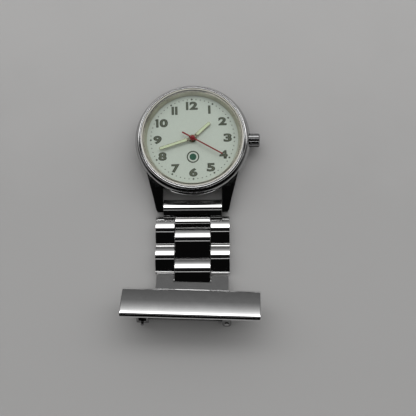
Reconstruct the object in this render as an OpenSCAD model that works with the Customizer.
// Fob watch: an analogue quartz watch on a short bracelet that hangs from a brooch bar.
// It lies face up. X runs to 3 o'clock, Y to 12 o'clock and Z up, in millimetres. The
// origin is on the axis of the hands, in the plane that the case back rests on.

/* [Case] */
// Largest radius of the case
case_r = 15.9; // [15.8:0.05:16.1]
// Height of the case's widest line
waist_z = 3.9; // [3.6:0.05:4.1]
// Free width between the lugs
lug_gap = 16; // [15.9:0.05:16.2]
// Radius of the crystal
crystal_r = 13.7; // [13.6:0.05:13.75]
// Rise of the domed crystal above its edge
crystal_dome = 0.35; // [0.1:0.05:0.5]
// Radius of the crown
crown_r = 1.93; // [1.8:0.01:2]
// Number of flutes around the crown
crown_flutes = 14; // [10:1:18]

/* [Dial and hands] */
// Radius of the dial that stays visible
dial_view_r = 12.6; // [12.2:0.1:12.7]
// Clockwise angle of the hour hand from 12 o'clock
hour_angle = 46.7; // [0:0.1:360]
// Clockwise angle of the minute hand from 12 o'clock
minute_angle = 251.4; // [0:0.1:360]
// Clockwise angle of the second hand from 12 o'clock
second_angle = 119.7; // [0:0.1:360]
// Length of the hour hand
hour_len = 6.6; // [5.5:0.1:7]
// Length of the minute hand
minute_len = 9.6; // [8.5:0.1:10]
// Length of the second hand
second_len = 9.5; // [8.5:0.05:10.5]

/* [Movement] */
// Radius of the movement's main plate
plate_r = 11; // [10.9:0.05:11]
// Radius of the button cell
battery_r = 3.4; // [3.3:0.05:3.4]
// Outward travel of the crown when the hands are set
crown_travel = 1; // [0.5:0.1:1]

/* [Bracelet] */
// Distance between neighbouring link pins
link_pitch = 4.03; // [4.02:0.01:4.1]
// Width of the centre links
centre_w = 9.5; // [9.2:0.1:9.7]
// Width over both rows of side links
bracelet_w = 20; // [19.6:0.1:20.6]
// Height of a link's crest above the table
link_crest = 2.95; // [2.8:0.05:3]
// Radius of a link's domed top
dome_r = 4.5; // [4.4:0.1:4.8]
// Radius of the link pins
pin_r = 0.45; // [0.4:0.01:0.45]

/* [Brooch bar] */
// Length of the bar
bar_len = 36.8; // [36:0.1:38]
// Width of the bar across its edges
bar_w = 9.3; // [9.1:0.1:9.4]
// Depth of the bar's bent shell
bar_depth = 1.95; // [1.9:0.05:2.2]
// Slope at which the bar leans on its catch
bar_tilt = 28; // [26:0.5:28]
// Slight turn of the bar about the vertical, from play in its pin
bar_skew = 1.9; // [0:0.1:2]
// Radius of the brooch needle
needle_r = 0.4; // [0.35:0.01:0.42]

/* [Hidden] */

// Smoothness of large, middle and small round shapes
fine = 180;
mid = 64;
small = 32;
// Overshoot that keeps cuts clean, and play where one piece drops into another
eps = 0.5;
fit = 0.03;

// Levels of the case, from the table up
back_t = 0.9;
case_bottom_z = 0.9;
dial_z = 4.5;
dial_t = 0.4;
dial_top_z = dial_z + dial_t;
crystal_z = 6.55;
crystal_edge_z = 7.25;
case_top_z = 5.7;

// Radii inside the case
cavity_r = 12.9;
dial_seat_r = 13.65;
rehaut_r = 13.6;
bezel_in_r = 13.95;
bezel_out_r = 14.85;
// Groove in the case's top that takes the bezel's tongue
groove_out_r = 14.4;
groove_in_r = 14.0;
groove_z = 5.25;

// Stem, tube and crown along X
stem_z = 3.2;
stem_r = 0.45;
tube_out_r = 1.05;
tube_in_r = 0.55;
tube_start_x = 12.95;
tube_end_x = 16.9;
crown_seat_x = 15.05;
crown_start_x = 15.12;
crown_bore_end_x = 17.3;
crown_end_x = 18.55;
crown_bore_r = 1.15;
gasket_groove_r = 1.45;
gasket_start_x = 15.45;
gasket_end_x = 15.9;
stem_start_x = 3.9;
stem_shoulder_x = 6.3;
stem_end_x = 18.1;
stem_square = 0.5;
groove_x = 8.6;
groove_w = 0.76;
groove_r = 0.22;

// Lug ends, spring bar and end link
lug_end_y = -20.1;
bar_y = -18.2;
spring_bar_z = 1.9;
hood_r = 1.6;
hood_w = lug_gap - 0.2;
barrel_r = 0.7;
barrel_half = 6.4;
tip_r = 0.4;
tip_hole_r = 0.46;
tip_start_x = 4.6;
tip_end_x = 8.85;
collar_r = 0.62;
collar_start_x = 7.45;
collar_end_x = 7.75;

// Bracelet
pin_z = 1.35;
first_pin_y = -22.9;
link_end_r = 1.95;
link_floor = 0.05;
pin_bore_r = pin_r + 0.05;
press_bore_r = pin_r + 0.01;
link_side_gap = 0.2;
side_in_x = centre_w / 2 + link_side_gap;
side_w = bracelet_w / 2 - side_in_x;
pin_len = bracelet_w - 0.5;
web_cut_r = 2.08;
// Crest of the end link's arch and its radius
hood_crest_y = -19.4;
hood_crest_z = 3.35;
hood_dome_r = 3;
hood_end_y = -21.9;
hood_end_z = 0.4;
// Tongue of the end link: its reach past the pin, its arch and where its crest lies
tongue_r = 2.45;
tongue_dome_r = 2.3;
tongue_crest_shift = -0.25;
// Flatter curve on the side of 12 o'clock: where it starts and how much wider it is
shoulder_angle = 12;
shoulder_ratio = 1.47;
// How far each link's crest lies above its middle, and the slope that its top runs into below it
side_crest_shift_1 = -0.28;
side_crest_shift_2 = 0.25;
centre_crest_shift_2 = 1.15;
centre_crest_shift_3 = 0.7;
side_slope = 30;
centre_slope = 15;

// Brooch bar, in its own frame about the last pin
hanger_knuckle_r = 1.6;
hanger_top = 1.2;
hanger_t = 0.8;
hanger_half_w = 9.65;
hanger_slot_w = centre_w + 0.55;
hanger_end = 7.6;
bar_start = 4.5;
bar_end = bar_start + bar_w;
bar_mid = (bar_start + bar_end) / 2;
shell_t = 0.5;
shell_crown_r = 24;
shell_edge_r = 3.2;
shell_flat_half = 3.45;
back_plate_t = 0.5;
needle_v = 9.2;
needle_w = -4.45;
needle_root_x = 9.5;
needle_root_r = 0.62;
needle_shaft_start = 7.1;
needle_shaft_end = -10.9;
needle_tip_x = -14;

// Needle hinge and catch: distance to the bar's back, pads, ears, rivet and tubes
base_z = hanger_top - needle_w;
pad_t = 0.5;
fitting_w = 2.8;
ear_t = 0.6;
ear_r = 1.2;
rivet_r = 0.35;
catch_x0 = -14.4;
catch_x1 = -11.2;
catch_bore_r = 0.6;
catch_tube_r = 0.95;
catch_sleeve_r = 1.45;
catch_slot_w = 1;

// Positions of the movement's arbors and screws
function polar(r, a) = [r * cos(a), r * sin(a)];
third_pos = polar(3.06, 100);
inter_pos = polar(3.2, 250);
rotor_angle = 215;
rotor_pos = inter_pos + polar(2.72, rotor_angle);
minute_pos = polar(3.2, 80);
battery_pos = [-7, 1];
lever_pos = [groove_x, 2.6];
bridge_boss_r = 0.85;
bridge_rotor_boss_r = 0.8;
bridge_arm_w = 1.1;
bridge_thin_arm_w = 0.8;
bridge_screws = [[3.9, -3.6], [3.9, 3.3], [-4.5, -2.35]];
clamp_screw = [-8.6, -4.0];
board_screw = polar(8.2, 58);
all_screws = concat(bridge_screws, [clamp_screw, board_screw]);
coil_y = -7.4;
coil_z = 2.35;
coil_wire_r = 0.9;
core_w = 0.8;
core_t = 0.3;
stator_knee_y = -5.3;
stator_z = 2.8;
stator_t = 0.3;
dial_foot_r = 9.4;
dial_foot_angles = [35, 215];
dial_foot_z = 3.5;
clutch_x = 5.2;
clutch_bay = [6.4, 2.2, 2.6];
clutch_bay_x = 7.2;
clamp_w = 1.4;
clamp_bend = [-0.6, -1.6];
clamp_tip = [0.6, 1.9];

// Gear modules: rotor, intermediate, seconds, third, and the wheels under the dial
rotor_module = 0.08;
inter_module = 0.128;
seconds_module = 0.09;
third_module = 0.085;
motion_module = 0.16;
clutch_module = 0.11;

// Levels of the movement
bridge_z = 1.5;
bridge_t = 0.35;
plate_z = 3.3;
plate_t = 0.55;
board_z = 2.1;
board_top_z = 2.3;
clamp_z = 1.28;
screw_head_t = 0.3;
screw_hole_r = 0.32;
pivot_r = 0.12;
pivot_hole_r = 0.17;

// Arc of points from angle a0 to a1 in n steps
function arc(x, y, r, a0, a1, n) =
    [for (i = [0 : n]) let (a = a0 + (a1 - a0) * i / n) [x + r * cos(a), y + r * sin(a)]];

// Outline of a gear with straight-sided teeth; a tooth points along +X
function gear_points(teeth, module_size) =
    let (pitch_r = teeth * module_size / 2, step = 360 / teeth)
    [for (i = [0 : teeth - 1], k = [0 : 3])
        let (
            r = pitch_r + (k == 1 || k == 2 ? 0.75 : -1.1) * module_size,
            a = i * step + step * [-0.29, -0.1, 0.1, 0.29][k]
        ) [r * cos(a), r * sin(a)]];

// Turns the Y-Z outline drawn as X-Y into a solid of length len, centred on x
module along_x(x, len) {
    translate([x - len / 2, 0, 0]) rotate([90, 0, 90]) linear_extrude(len) children();
}

// Round bar along X between two positions
module rod_x(x0, x1, r, y = 0, z = 0, n = small) {
    translate([x0, y, z]) rotate([0, 90, 0]) cylinder(h = x1 - x0, r = r, $fn = n);
}

module disc(r, z0, z1, n = mid) {
    translate([0, 0, z0]) cylinder(h = z1 - z0, r = r, $fn = n);
}

module ring(r_out, r_in, z0, z1, n = mid) {
    difference() {
        disc(r_out, z0, z1, n);
        disc(r_in, z0 - eps, z1 + eps, n);
    }
}

// Flat arm with round ends between two points
module arm(p, q, w) {
    d = q - p;
    translate(p) circle(d = w, $fn = small);
    translate(q) circle(d = w, $fn = small);
    translate(p) rotate(atan2(d[1], d[0])) translate([0, -w / 2]) square([norm(d), w]);
}

module gear(teeth, module_size, z0, z1, phase) {
    translate([0, 0, z0]) rotate(phase) linear_extrude(z1 - z0)
        polygon(gear_points(teeth, module_size));
}

// Phase of a gear whose tooth, or gap, meets its partner in direction a
function tooth_to(a) = a;
function gap_to(a, teeth) = a + 180 / teeth;

// ---------------------------------------------------------------- watch head

case_profile = concat(
    [[cavity_r, case_bottom_z], [13.5, case_bottom_z], [14.5, 1.5], [15.3, 2.3]],
    [[case_r - 0.12, waist_z - 0.65], [case_r, waist_z], [case_r - 0.03, waist_z + 0.4]],
    [[case_r - 0.16, waist_z + 0.8], [case_r - 0.48, 5.2], [15.12, 5.52]],
    [[bezel_out_r, case_top_z], [groove_out_r, case_top_z], [groove_out_r, groove_z]],
    [[groove_in_r, groove_z], [groove_in_r, case_top_z]],
    [[dial_seat_r, case_top_z], [dial_seat_r, dial_z], [cavity_r, dial_z]]
);

module lug() {
    outline = [
        [lug_gap / 2, -11], [lug_gap / 2, lug_end_y], [9.5, lug_end_y], [9.95, -19.5],
        [10.6, -16.6], [12.55, -9.4], [12.2, -8]
    ];
    side = [
        [-8, 1.3], [-16, 0.95], [-19.4, 0.55], [lug_end_y, 1.1], [lug_end_y, 2.1],
        [-19.5, 2.65], [-17.5, 3.25], [-13.5, 4.2], [-8, 5.2]
    ];
    intersection() {
        linear_extrude(case_top_z) polygon(outline);
        along_x(lug_gap / 2 + 2, 8) polygon(side);
    }
}

module case_body() {
    color("silver") difference() {
        union() {
            rotate_extrude($fn = fine) polygon(case_profile);
            lug();
            mirror([1, 0, 0]) lug();
        }
        disc(cavity_r, 0, dial_z, fine);
        rod_x(12, 17, tube_out_r, 0, stem_z);
        rod_x(crown_seat_x, 17, crown_r + 0.25, 0, stem_z, mid);
        rod_x(-9.2, 9.2, tip_hole_r, bar_y, spring_bar_z);
    }
}

module bezel_ring() {
    inner_r = groove_in_r + fit;
    outer_r = groove_out_r - fit;
    low = groove_z + fit;
    tongue = [[inner_r, case_top_z], [inner_r, low], [outer_r, low], [outer_r, case_top_z]];
    top = concat([[bezel_out_r, case_top_z], [bezel_out_r + 0.05, 6.1]],
        arc(bezel_out_r - 0.5, 6.55, 0.55, 0, 90, 5), arc(14.3, 6.73, 0.35, 100, 175, 4),
        [[bezel_in_r, 6.7], [bezel_in_r, case_top_z]]);
    color("white") rotate_extrude($fn = fine) polygon(concat(tongue, top));
}

module crystal() {
    edge_r = crystal_r - 0.25;
    curve_r = (edge_r * edge_r + crystal_dome * crystal_dome) / (2 * crystal_dome);
    half = asin(edge_r / curve_r);
    dome = arc(0, crystal_edge_z + crystal_dome - curve_r, curve_r, 90 - half, 90, 6);
    color("lightblue", 0.3) rotate_extrude($fn = fine) polygon(concat(
        [[0, crystal_z], [crystal_r, crystal_z], [crystal_r, crystal_edge_z - 0.25]],
        dome));
}

module crystal_gasket() {
    color("ivory") ring(bezel_in_r, crystal_r, crystal_z + 0.05, crystal_z + 0.4, fine);
}

module rehaut_ring() {
    color("dimgray") rotate_extrude($fn = fine) polygon([
        [dial_view_r, dial_top_z], [rehaut_r, dial_top_z], [rehaut_r, crystal_z],
        [13.2, crystal_z], [13.1, crystal_z - 0.15]]);
}

module dial() {
    color("honeydew") {
        ring(13.5, 0.95, dial_z, dial_top_z, fine);
        for (a = dial_foot_angles) translate(polar(dial_foot_r, a))
            disc(0.4, dial_foot_z, dial_z, small);
    }
}

// Baton hand that lies along +Y, pressed on a tube of radius bore
module hand(len, w, tail, hub_r, bore, z, t) {
    difference() {
        union() {
            translate([0, 0, z]) linear_extrude(t) {
                arm([0, -tail], [0, len - w / 2], w);
                circle(r = hub_r, $fn = mid);
            }
        }
        disc(bore, z - eps, z + t + eps, small);
    }
}

module hour_hand() {
    color("khaki") rotate(-hour_angle)
        hand(hour_len, w = 1, tail = 0, hub_r = 1.15, bore = 0.82, z = 5.2, t = 0.15);
}

module minute_hand() {
    color("khaki") rotate(-minute_angle)
        hand(minute_len, w = 0.9, tail = 0, hub_r = 0.95, bore = 0.55, z = 5.6, t = 0.15);
}

module second_hand() {
    z = 6;
    t = 0.12;
    color("crimson") rotate(-second_angle) {
        hand(second_len, w = 0.36, tail = 3.1, hub_r = 0.7, bore = 0.25, z = z, t = t);
        translate([0, 0, z]) linear_extrude(t) arm([0, -3.1], [0, -1.3], 0.42);
    }
}

module case_back() {
    color("gainsboro") {
        disc(13.1, 0, back_t, fine);
        ring(12.45, 11.9, back_t, 1.9, fine);
    }
}

module case_back_gasket() {
    color("black") ring(12.85, 12.5, 1.0, 1.5, fine);
}

// ------------------------------------------------------------------ movement

module movement_ring() {
    color("whitesmoke") difference() {
        ring(12.85, plate_r + 0.05, 1.95, dial_z - 0.05, fine);
        rod_x(10, 14, 1.15, 0, stem_z);
    }
}

module main_plate() {
    color("goldenrod") difference() {
        union() {
            disc(plate_r, plate_z, plate_z + plate_t, fine);
            ring(plate_r, plate_r - 0.6, bridge_z + 0.4, dial_z, fine);
            for (p = all_screws) translate(p)
                disc(0.6, p == board_screw ? board_top_z : bridge_z + bridge_t, plate_z);
            translate(minute_pos) disc(0.22, plate_z, 4.42, small);
            translate(lever_pos) disc(0.3, 2.2, plate_z, small);
        }
        translate(battery_pos) disc(battery_r + 0.1, 1, dial_z + eps, mid);
        translate([clutch_bay_x, 0, plate_z]) cube(clutch_bay, center = true);
        rod_x(9, 12, 0.8, 0, stem_z);
        translate(rotor_pos) disc(1.0, plate_z - eps, plate_z + 0.05, small);
        for (p = [third_pos, inter_pos, rotor_pos]) translate(p)
            disc(pivot_hole_r, plate_z - eps, 4, small);
        disc(0.62, plate_z - eps, 4, small);
        for (p = all_screws) translate(p) disc(0.3, 1, plate_z + 0.2, small);
        for (a = dial_foot_angles) translate(polar(dial_foot_r, a)) disc(0.45, 3, 4, small);
    }
}

module train_bridge() {
    posts = [bridge_screws[0], bridge_screws[1], bridge_screws[2], third_pos, inter_pos];
    color("goldenrod") translate([0, 0, bridge_z]) linear_extrude(bridge_t) difference() {
        union() {
            for (p = [[0, 0], each posts]) translate(p) circle(r = bridge_boss_r, $fn = mid);
            translate(rotor_pos) circle(r = bridge_rotor_boss_r, $fn = mid);
            for (p = posts) arm([0, 0], p, bridge_arm_w);
            arm(inter_pos, rotor_pos, bridge_arm_w);
            arm(bridge_screws[2], rotor_pos, bridge_thin_arm_w);
        }
        for (p = [[0, 0], third_pos, inter_pos, rotor_pos])
            translate(p) circle(r = pivot_hole_r, $fn = small);
        for (p = bridge_screws) translate(p) circle(r = screw_hole_r, $fn = small);
    }
}

module battery() {
    color("silver") translate(battery_pos) {
        disc(battery_r, 2.0, 4.2, mid);
        disc(battery_r - 0.5, 1.6, 2.0, mid);
    }
}

module battery_clamp() {
    color("gold") difference() {
        translate([0, 0, clamp_z]) linear_extrude(bridge_z - clamp_z) {
            arm(clamp_screw, battery_pos + clamp_bend, clamp_w);
            arm(battery_pos + clamp_bend, battery_pos + clamp_tip, clamp_w);
        }
        translate(clamp_screw) disc(screw_hole_r, 1, 2, small);
    }
    color("gold") translate(battery_pos + clamp_tip) disc(0.35, bridge_z, 1.6, small);
    color("gold") translate(clamp_screw)
        ring(0.6, screw_hole_r, bridge_z, bridge_z + bridge_t, small);
}

module coil() {
    ends = [-6.4, 2.25];
    end_w = 0.75;
    core = [ends[0], coil_y - core_w / 2, coil_z - core_t / 2];
    color("chocolate") difference() {
        rod_x(-5.6, 1.4, coil_wire_r, coil_y, coil_z, mid);
        translate(core) cube([ends[1] - ends[0], core_w, core_t]);
    }
    color("dimgray") {
        translate(core) cube([ends[1] - ends[0], core_w, core_t]);
        for (x = [0, ends[1] - ends[0] - end_w]) translate(core + [x, 0, core_t])
            cube([end_w, core_w, core_t]);
    }
}

module stator() {
    color("lightslategray") translate([0, 0, stator_z]) linear_extrude(stator_t) difference() {
        union() {
            translate(rotor_pos) circle(r = 1.65, $fn = mid);
            for (x = [-6.1, 1.9]) {
                arm(rotor_pos, [x, stator_knee_y], 0.7);
                arm([x, stator_knee_y], [x, coil_y], 0.7);
            }
        }
        translate(rotor_pos) circle(r = 0.95, $fn = mid);
    }
}

// Arbor with thin pivots that run in the bridge and the main plate
module arbor(r, z0, z1) {
    disc(pivot_r, bridge_z + 0.05, plate_z + 0.4, small);
    disc(r, z0, z1, small);
}

module rotor() {
    color("dimgray") translate(rotor_pos) {
        arbor(0.2, 1.95, 3.25);
        gear(8, rotor_module, 2.4, 2.68, tooth_to(rotor_angle + 180));
        disc(0.8, 2.76, 3.2, mid);
    }
}

module intermediate_wheel() {
    color("gold") translate(inter_pos) {
        arbor(0.2, 1.95, 3.2);
        gear(60, rotor_module, 2.46, 2.62, gap_to(rotor_angle, 60));
        gear(10, inter_module, 1.98, 2.32, tooth_to(70));
    }
}

module seconds_wheel() {
    color("gold") {
        disc(pivot_r, bridge_z + 0.05, 2, small);
        disc(0.25, 1.95, 6.12, small);
        gear(40, inter_module, 2.06, 2.24, gap_to(250, 40));
        gear(8, seconds_module, 2.4, 2.68, tooth_to(100));
    }
}

module third_wheel() {
    color("gold") translate(third_pos) {
        arbor(0.2, 1.95, 3.2);
        gear(60, seconds_module, 2.46, 2.62, gap_to(280, 60));
        gear(8, third_module, 2.76, 3.12, tooth_to(280));
    }
}

module centre_wheel() {
    color("gold") difference() {
        union() {
            gear(64, third_module, 2.86, 3.02, gap_to(100, 64));
            disc(0.55, 2.78, 5.75, small);
            gear(10, motion_module, 3.9, 4.12, tooth_to(80));
        }
        disc(0.32, 2, 6, small);
    }
}

module minute_wheel() {
    color("gold") translate(minute_pos) difference() {
        union() {
            gear(30, motion_module, 3.92, 4.08, gap_to(260, 30));
            gear(8, motion_module, 4.08, 4.42, tooth_to(260));
        }
        disc(0.28, 3, 5, small);
    }
}

module hour_wheel() {
    color("gold") difference() {
        union() {
            gear(32, motion_module, 4.2, 4.38, gap_to(80, 32));
            disc(0.82, 4.2, 5.35, small);
        }
        disc(0.62, 4, 6, small);
    }
}

module circuit_board() {
    color("darkgreen") difference() {
        translate([0, 0, board_z]) linear_extrude(board_top_z - board_z) difference() {
            intersection() {
                circle(r = plate_r - 0.7, $fn = fine);
                polygon(concat([[0, 0]], [for (a = [50, 128]) polar(20, a)]));
            }
            circle(r = 6.2, $fn = fine);
        }
        translate(board_screw) disc(screw_hole_r, board_z - eps, board_top_z + eps, small);
    }
}

module quartz_can() {
    color("silver") translate(concat(polar(8.7, 100), 2.79)) rotate([90, 0, 100])
        cylinder(h = 4.6, r = 0.48, center = true, $fn = small);
}

module chip() {
    color("black") translate(polar(8.2, 78)) disc(1.1, 1.6, 2.1, small);
}

// Height at which a screw's head bears on what it holds
function seat_z(p) = p == clamp_screw ? clamp_z : p == board_screw ? board_z : bridge_z;

module movement_screws() {
    slot = [1.3, 0.18, 0.24];
    for (p = all_screws) color("steelblue") translate(p) difference() {
        union() {
            disc(0.55, seat_z(p) - screw_head_t, seat_z(p), small);
            disc(0.28, seat_z(p), plate_z + 0.1, small);
        }
        translate([0, 0, seat_z(p) - screw_head_t]) cube(slot, center = true);
    }
}

// -------------------------------------------------------------------- winding

module stem() {
    color("silver") difference() {
        union() {
            translate([stem_start_x, -stem_square / 2, stem_z - stem_square / 2])
                cube([stem_shoulder_x - stem_start_x, stem_square, stem_square]);
            rod_x(stem_shoulder_x, stem_end_x, stem_r, 0, stem_z);
        }
        difference() {
            rod_x(groove_x - groove_w / 2, groove_x + groove_w / 2, 1, 0, stem_z);
            rod_x(groove_x - groove_w, groove_x + groove_w, groove_r, 0, stem_z);
        }
    }
}

module clutch_wheel() {
    hole = stem_square + 0.08;
    color("gold") translate([clutch_x, 0, stem_z]) difference() {
        union() {
            rotate([0, 90, 0]) gear(16, clutch_module, -0.55, -0.15, 0);
            rod_x(-0.3, 0.55, 0.7);
        }
        cube([2, hole, hole], center = true);
        rotate([0, 90, 0]) ring(1, 0.5, 0.1, 0.35, small);
    }
}

module setting_lever() {
    color("silver") difference() {
        union() {
            translate([0, 0, 2.3]) linear_extrude(0.25) {
                arm(lever_pos, [groove_x, 0], 0.8);
                arm(lever_pos, [6.6, 3.9], 0.7);
                translate(lever_pos) circle(r = 0.65, $fn = small);
            }
            translate([groove_x, 0]) disc(0.17, 2.5, 2.95, small);
        }
        translate(lever_pos) disc(0.35, 2, 3, small);
    }
}

module crown_tube() {
    color("silver") difference() {
        rod_x(tube_start_x, tube_end_x, tube_out_r, 0, stem_z);
        rod_x(12, 18, tube_in_r, 0, stem_z);
    }
}

module crown() {
    chamfer = 0.3;
    face_rise = 0.1;
    color("silver") translate([0, 0, stem_z]) difference() {
        rotate([0, 90, 0]) rotate_extrude($fn = mid) polygon(concat(
            [[0, crown_start_x], [crown_r - chamfer, crown_start_x],
             [crown_r, crown_start_x + chamfer],
             [crown_r, crown_end_x - chamfer - face_rise]],
            [[crown_r - chamfer, crown_end_x - face_rise], [0, crown_end_x]]));
        rod_x(15, crown_bore_end_x, crown_bore_r);
        rod_x(gasket_start_x, gasket_end_x, gasket_groove_r);
        rod_x(15, stem_end_x, stem_r);
        for (i = [0 : crown_flutes - 1]) rotate([i * 360 / crown_flutes, 0, 0])
            rod_x(15, 19, 0.24, 0, crown_r + 0.07, 16);
    }
}

module crown_gasket() {
    color("black") translate([0, 0, stem_z]) rotate([0, 90, 0])
        ring(gasket_groove_r - 0.02, tube_out_r + 0.03, gasket_start_x + 0.02,
             gasket_end_x - 0.02, small);
}

// ------------------------------------------------------------------- bracelet

function pin_y(i) = first_pin_y - (i - 1) * link_pitch;

module pin_hole(i, r) {
    rod_x(-12, 12, r, pin_y(i), pin_z);
}

// Arched area: crest at y, radius r, then a flatter curve towards +Y. A slope above 0
// adds a straight fall of that angle towards -Y
module arch(y, crest, r, slope = 0) {
    centre = [y, crest - r];
    reach = 6;
    up = [sin(shoulder_angle), cos(shoulder_angle)];
    across = [up[1], -up[0]];
    start = centre + r * [-sin(slope), cos(slope)];
    translate(centre) circle(r = r, $fn = fine);
    intersection() {
        translate(centre - (shoulder_ratio - 1) * r * up) circle(r = shoulder_ratio * r, $fn = fine);
        polygon([
            centre - r * up, centre + 2 * r * up,
            centre + 2 * r * up + 2 * reach * across, centre - r * up + 2 * reach * across
        ]);
    }
    if (slope > 0) polygon([
        centre, start, start - reach * [cos(slope), sin(slope)],
        centre - [reach, reach], centre - [0, reach]
    ]);
}

// Outline of a link between pins i and i + 1, drawn in the Y-Z plane
module link_outline(i, shift, slope) {
    middle = (pin_y(i) + pin_y(i + 1)) / 2;
    intersection() {
        union() {
            for (k = [i, i + 1]) translate([pin_y(k), pin_z]) circle(r = link_end_r, $fn = mid);
            translate([pin_y(i + 1), link_floor]) square([link_pitch, 4]);
        }
        arch(middle + shift, link_crest, dome_r, slope);
        translate([middle - 5, link_floor]) square([10, 5]);
    }
}

module link(i, x, w, bore_r, shift, slope) {
    difference() {
        along_x(x, w) link_outline(i, shift, slope);
        pin_hole(i, bore_r);
        pin_hole(i + 1, bore_r);
    }
}

module side_link(i, side, shift) {
    x = side * (side_in_x + side_w / 2);
    color("silver") link(i, x, side_w, press_bore_r, shift, side_slope);
}

module link_pin(i, len) {
    color("gray") rod_x(-len / 2, len / 2, pin_r, pin_y(i), pin_z);
}

module spring_bar_barrel() {
    color("gray") difference() {
        rod_x(-barrel_half, barrel_half, barrel_r, bar_y, spring_bar_z);
        rod_x(-7, 7, tip_r + 0.04, bar_y, spring_bar_z);
    }
}

module spring_bar_tip() {
    rod_x(tip_start_x, tip_end_x, tip_r, bar_y, spring_bar_z);
    rod_x(collar_start_x, collar_end_x, collar_r, bar_y, spring_bar_z);
}

module end_link() {
    color("silver") difference() {
        along_x(0, hood_w) difference() {
            intersection() {
                union() {
                    translate([bar_y, spring_bar_z]) circle(r = hood_r, $fn = mid);
                    polygon([
                        [bar_y, spring_bar_z], [bar_y, spring_bar_z + hood_r - 0.1],
                        [hood_end_y, hood_crest_z], [hood_end_y, hood_end_z],
                        [bar_y - 0.4, spring_bar_z - hood_r + 0.1]
                    ]);
                }
                arch(hood_crest_y, hood_crest_z, hood_dome_r);
            }
            translate([first_pin_y, pin_z]) circle(r = web_cut_r, $fn = mid);
        }
        along_x(0, centre_w) translate([first_pin_y, pin_z]) circle(r = tongue_r, $fn = mid);
        rod_x(-9, 9, barrel_r + 0.05, bar_y, spring_bar_z);
    }
}

module centre_link_1() {
    color("silver") difference() {
        along_x(0, centre_w) intersection() {
            union() {
                translate([first_pin_y, pin_z]) circle(r = link_end_r, $fn = mid);
                intersection() {
                    translate([first_pin_y, pin_z]) circle(r = tongue_r, $fn = mid);
                    translate([first_pin_y, 0]) square([3, 4]);
                }
            }
            arch(first_pin_y + tongue_crest_shift, link_crest, tongue_dome_r);
            translate([first_pin_y - 3, link_floor]) square([6, 5]);
        }
        pin_hole(1, pin_bore_r);
    }
}

module centre_link_2() {
    color("silver") link(2, 0, centre_w, pin_bore_r, centre_crest_shift_2, centre_slope);
}

// The last link's lower hole is wide enough to let the bar sit slightly askew
module centre_link_3() {
    color("silver") difference() {
        link(4, 0, centre_w, pin_bore_r, centre_crest_shift_3, centre_slope);
        pin_hole(5, pin_r + 0.22);
    }
}

// ----------------------------------------------------------------- brooch bar

// Frame of the bar: X along it, -Y down its back and Z out of its face
module on_bar() {
    translate([0, pin_y(5), pin_z]) rotate([0, 0, -bar_skew]) rotate([-bar_tilt, 0, 0])
        children();
}

module link_pin_5() {
    half = hanger_half_w - 0.25;
    color("gray") on_bar() rod_x(-half, half, pin_r);
}

module hanger_plate() {
    color("lightgray") on_bar() difference() {
        along_x(0, 2 * hanger_half_w) union() {
            intersection() {
                circle(r = hanger_knuckle_r, $fn = mid);
                rotate(bar_tilt) translate([-3, link_floor - pin_z]) square([6, 5]);
                translate([-3, -3]) square([6, 3 + hanger_top]);
            }
            translate([-hanger_end, hanger_top - hanger_t]) square([hanger_end, hanger_t]);
        }
        translate([-hanger_slot_w / 2, -2.35, -3]) cube([hanger_slot_w, 5, 3.9]);
        translate([-hanger_slot_w / 2, -1.45, 0]) cube([hanger_slot_w, 5, 3]);
        rod_x(-12, 12, press_bore_r);
    }
}

// Arched section of the bar's sheet, inset by d from its outer face
function shell_points(d) =
    let (
        half = bar_w / 2 - d,
        top = hanger_top + bar_depth - d,
        a = asin(shell_flat_half / shell_crown_r),
        r = shell_edge_r - d,
        cx = shell_flat_half - shell_edge_r * sin(a),
        cz = top + d - shell_crown_r * (1 - cos(a)) - shell_edge_r * cos(a),
        b = asin((half - cx) / r)
    )
    concat(
        arc(cx, cz, r, 90 - b, 90 - a, 6),
        arc(-cx, cz, r, 90 + a, 90 + b, 6)
    );

module bar_cover() {
    z0 = hanger_top;
    half = bar_w / 2;
    color("white") on_bar() translate([0, -bar_mid, 0]) difference() {
        along_x(0, bar_len)
            polygon(concat([[half, z0]], shell_points(0), [[-half, z0]]));
        along_x(0, bar_len - 2 * shell_t) translate([0, -eps])
            polygon(concat([[half - shell_t, z0]], shell_points(shell_t),
                           [[shell_t - half, z0]]));
        along_x(0, bar_len - 2 * shell_t) translate([-half + shell_t, z0 - eps])
            square([bar_w - 2 * shell_t, eps + back_plate_t]);
    }
}

module bar_back_plate() {
    w = bar_w - 2 * shell_t - 0.1;
    color("silver") on_bar() translate([0, -bar_mid, hanger_top + back_plate_t / 2])
        cube([bar_len - 2 * shell_t - 0.1, w, back_plate_t], center = true);
}

// Frame of the needle's line, within the frame of the bar
module on_needle() {
    on_bar() translate([0, -needle_v, needle_w]) children();
}

module on_hinge() {
    on_needle() translate([needle_root_x, 0, 0]) rotate([90, 0, 0]) children();
}

module pad(x, len) {
    translate([x, -fitting_w / 2, base_z - pad_t]) cube([len, fitting_w, pad_t]);
}

module brooch_bracket() {
    color("silver") difference() {
        union() {
            on_needle() pad(needle_root_x - 1.5, 3);
            for (y = [-1.1, 1.1]) on_hinge() translate([0, 0, y]) {
                cylinder(h = ear_t, r = ear_r, center = true, $fn = small);
                translate([-ear_r, 0, -ear_t / 2]) cube([2 * ear_r, base_z - 0.2, ear_t]);
            }
        }
        on_hinge() cylinder(h = 6, r = rivet_r + 0.01, center = true, $fn = small);
    }
}

module brooch_rivet() {
    color("gray") on_hinge() {
        cylinder(h = 2.9, r = rivet_r, center = true, $fn = small);
        for (y = [-1.55, 1.55]) translate([0, 0, y])
            cylinder(h = 0.3, r = 0.6, center = true, $fn = small);
    }
}

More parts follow.
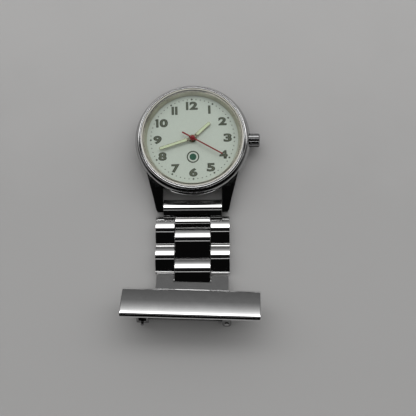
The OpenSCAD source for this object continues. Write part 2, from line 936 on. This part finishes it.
module brooch_needle() {
    color("silver") difference() {
        union() {
            on_needle() {
                rod_x(needle_shaft_end, needle_shaft_start, needle_r);
                rod_x(needle_shaft_start, needle_root_x - 0.5, needle_root_r);
                translate([needle_tip_x, 0, 0]) rotate([0, 90, 0])
                    cylinder(h = needle_shaft_end - needle_tip_x, r1 = 0.05, r2 = needle_r,
                             $fn = small);
            }
            on_hinge() cylinder(h = 1.4, r = 0.95, center = true, $fn = small);
        }
        on_hinge() cylinder(h = 6, r = rivet_r + 0.05, center = true, $fn = small);
    }
}

// Both parts of the catch have a slot that faces away from the bar
module catch_slot(x0, x1) {
    translate([x0 - eps, -catch_slot_w / 2, -3]) cube([x1 - x0 + 2 * eps, catch_slot_w, 3]);
}

module catch_body() {
    color("silver") on_needle() difference() {
        union() {
            pad(catch_x0, catch_x1 - catch_x0);
            rod_x(catch_x0, catch_x1, catch_tube_r);
            for (x = [catch_x0, catch_x1 - ear_t]) {
                rod_x(x, x + ear_t, fitting_w / 2);
                translate([x, -fitting_w / 2, 0]) cube([ear_t, fitting_w, base_z - 0.2]);
            }
        }
        rod_x(catch_x0 - eps, catch_x1 + eps, catch_bore_r);
        catch_slot(catch_x0, catch_x1);
    }
}

module catch_sleeve() {
    x0 = catch_x0 + ear_t + 0.05;
    x1 = catch_x1 - ear_t - 0.05;
    color("silver") on_needle() difference() {
        union() {
            rod_x(x0, x1, catch_sleeve_r);
            translate([(x0 + x1) / 2, -1.2, 0]) rotate([90, 0, 0])
                cylinder(h = 1.2, r = 0.4, $fn = small);
        }
        rod_x(x0 - eps, x1 + eps, catch_tube_r + 0.05);
        catch_slot(x0, x1);
    }
}

case_body();
bezel_ring();
crystal();
crystal_gasket();
rehaut_ring();
dial();
hour_hand();
minute_hand();
second_hand();
case_back();
case_back_gasket();
movement_ring();
main_plate();
train_bridge();
battery();
battery_clamp();
coil();
stator();
rotor();
intermediate_wheel();
seconds_wheel();
third_wheel();
centre_wheel();
minute_wheel();
hour_wheel();
circuit_board();
quartz_can();
chip();
movement_screws();
stem();
clutch_wheel();
setting_lever();
crown();
crown_gasket();
crown_tube();
spring_bar_barrel();
mirror([1, 0, 0]) color("gray") spring_bar_tip();  // spring_bar_tip_left
color("gray") spring_bar_tip();  // spring_bar_tip_right
end_link();
centre_link_1();
side_link(1, -1, side_crest_shift_1);  // side_link_1_left
side_link(1, 1, side_crest_shift_1);  // side_link_1_right
centre_link_2();
side_link(3, -1, side_crest_shift_2);  // side_link_2_left
side_link(3, 1, side_crest_shift_2);  // side_link_2_right
centre_link_3();
link_pin(1, pin_len);  // link_pin_1
link_pin(2, pin_len);  // link_pin_2
link_pin(3, pin_len);  // link_pin_3
link_pin(4, pin_len);  // link_pin_4
link_pin_5();
hanger_plate();
bar_cover();
bar_back_plate();
brooch_bracket();
brooch_rivet();
brooch_needle();
catch_body();
catch_sleeve();
